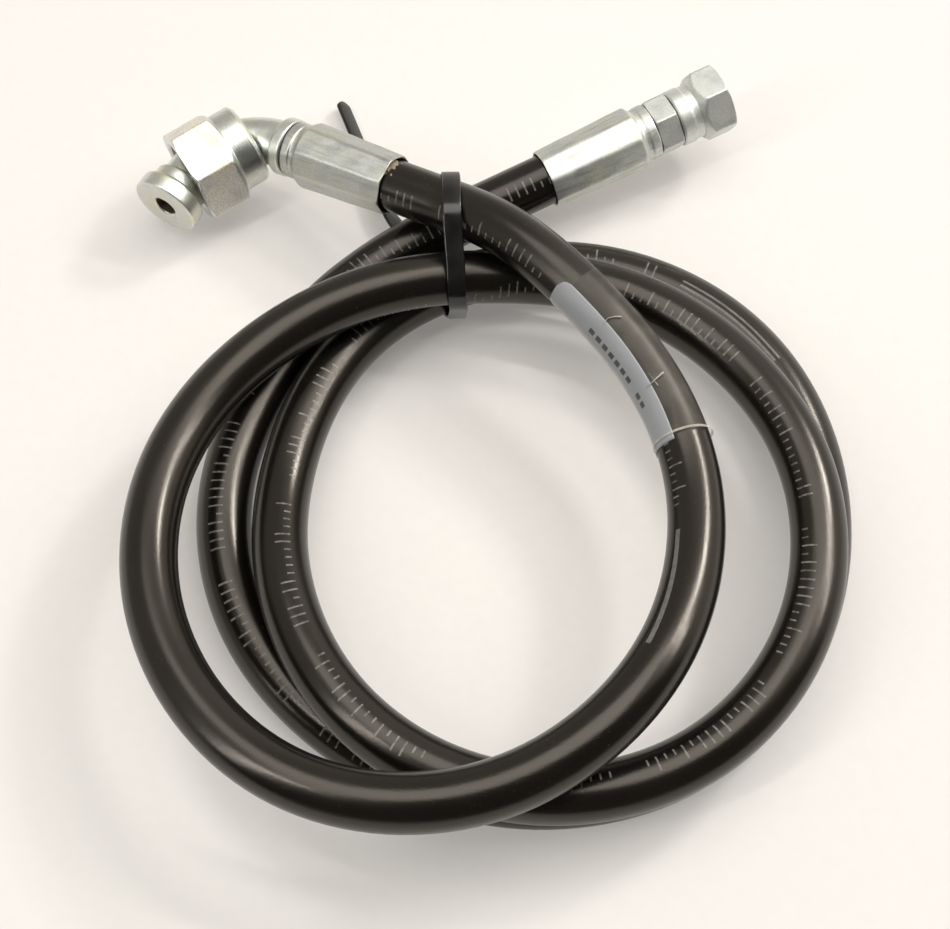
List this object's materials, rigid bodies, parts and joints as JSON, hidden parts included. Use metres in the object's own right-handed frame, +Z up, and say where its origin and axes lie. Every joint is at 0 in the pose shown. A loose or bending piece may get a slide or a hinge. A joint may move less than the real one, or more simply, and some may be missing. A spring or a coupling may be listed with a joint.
{
  "type": "hydraulic hose assembly",
  "caption": "Coiled rubber hydraulic hose held by a cable tie, with a bent flat-face swivel fitting on one end and a straight cone-seat swivel fitting on the other.",
  "frame": {"origin": "on the table, under the middle of the whole assembly's bounding box", "axes": "+Z up from the table the coil lies on; both fittings are on the +Y side, the bent one (end A) towards -X and the straight one (end B) towards +X"},
  "size_m": [0.1854, 0.2172, 0.042],
  "materials": {
    "hose_cover": "smooth satin black rubber",
    "wire_braid": "braided steel wire",
    "inner_tube": "matt black rubber",
    "shell_a": "zinc plated steel, crimped",
    "shell_b": "zinc plated steel, crimped",
    "nipple_a": "zinc plated steel, turned",
    "elbow_tube": "zinc plated steel tube",
    "face_sleeve": "zinc plated steel, turned",
    "swivel_nut_a": "zinc plated steel",
    "stem_b": "zinc plated steel",
    "swivel_nut_b": "zinc plated steel",
    "cable_tie": "black nylon",
    "marker_label": "blue-grey printed film",
    "clear_sleeve": "clear shrink sleeve"
  },
  "bodies": {
    "hose": {"hose_cover": "hose_cover", "wire_braid": "wire_braid", "inner_tube": "inner_tube", "shell_a": "shell_a", "nipple_a": "nipple_a", "elbow_tube": "elbow_tube", "face_sleeve": "face_sleeve", "shell_b": "shell_b", "stem_b": "stem_b", "cable_tie": "cable_tie", "marker_label": "marker_label", "clear_sleeve": "clear_sleeve"},
    "nut_a": {"swivel_nut_a": "swivel_nut_a"},
    "nut_b": {"swivel_nut_b": "swivel_nut_b"}
  },
  "joints": [
    {"name": "nut_a_spin", "type": "hinge", "parent": "hose", "child": "nut_a", "pos_m": [-0.0793, 0.07433, 0.01456], "axis": [-0.836, -0.5415, -0.0881], "continuous": true},
    {"name": "nut_b_spin", "type": "hinge", "parent": "hose", "child": "nut_b", "pos_m": [0.05897, 0.09318, 0.01983], "axis": [0.8976, 0.4282, 0.1045], "continuous": true}
  ]
}
